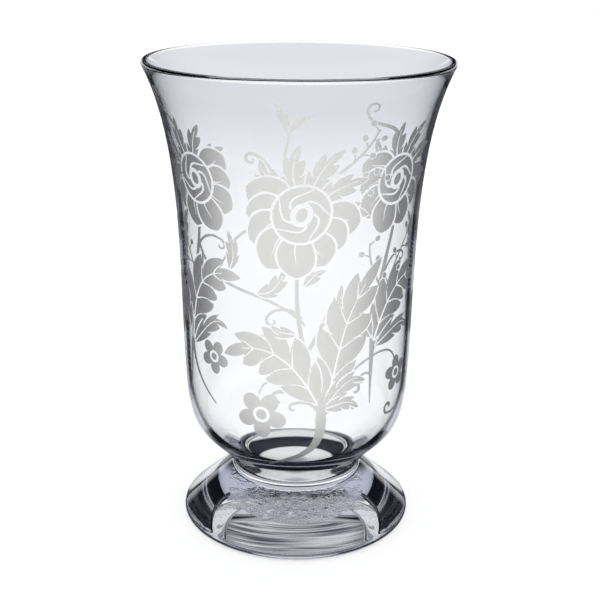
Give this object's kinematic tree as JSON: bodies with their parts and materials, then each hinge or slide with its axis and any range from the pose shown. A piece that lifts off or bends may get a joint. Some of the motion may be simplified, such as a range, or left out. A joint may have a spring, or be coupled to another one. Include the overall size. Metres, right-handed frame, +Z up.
{
  "type": "hurricane lamp",
  "caption": "Clear glass hurricane lamp: a tall bell-shaped bowl for a candle, open at the flared rim, on a thin collar and a solid foot.",
  "frame": {"origin": "on the table, under the middle of the foot", "axes": "+Z up along the axis of the lamp, out of the open rim; -Y towards the viewer of the picture"},
  "size_m": [0.176, 0.176, 0.28],
  "materials": {
    "bowl_glass": "clear polished",
    "collar_glass": "clear polished",
    "foot_glass": "clear polished"
  },
  "bodies": {
    "root": {"bowl": "bowl_glass", "collar": "collar_glass", "foot": "foot_glass"}
  },
  "joints": []
}
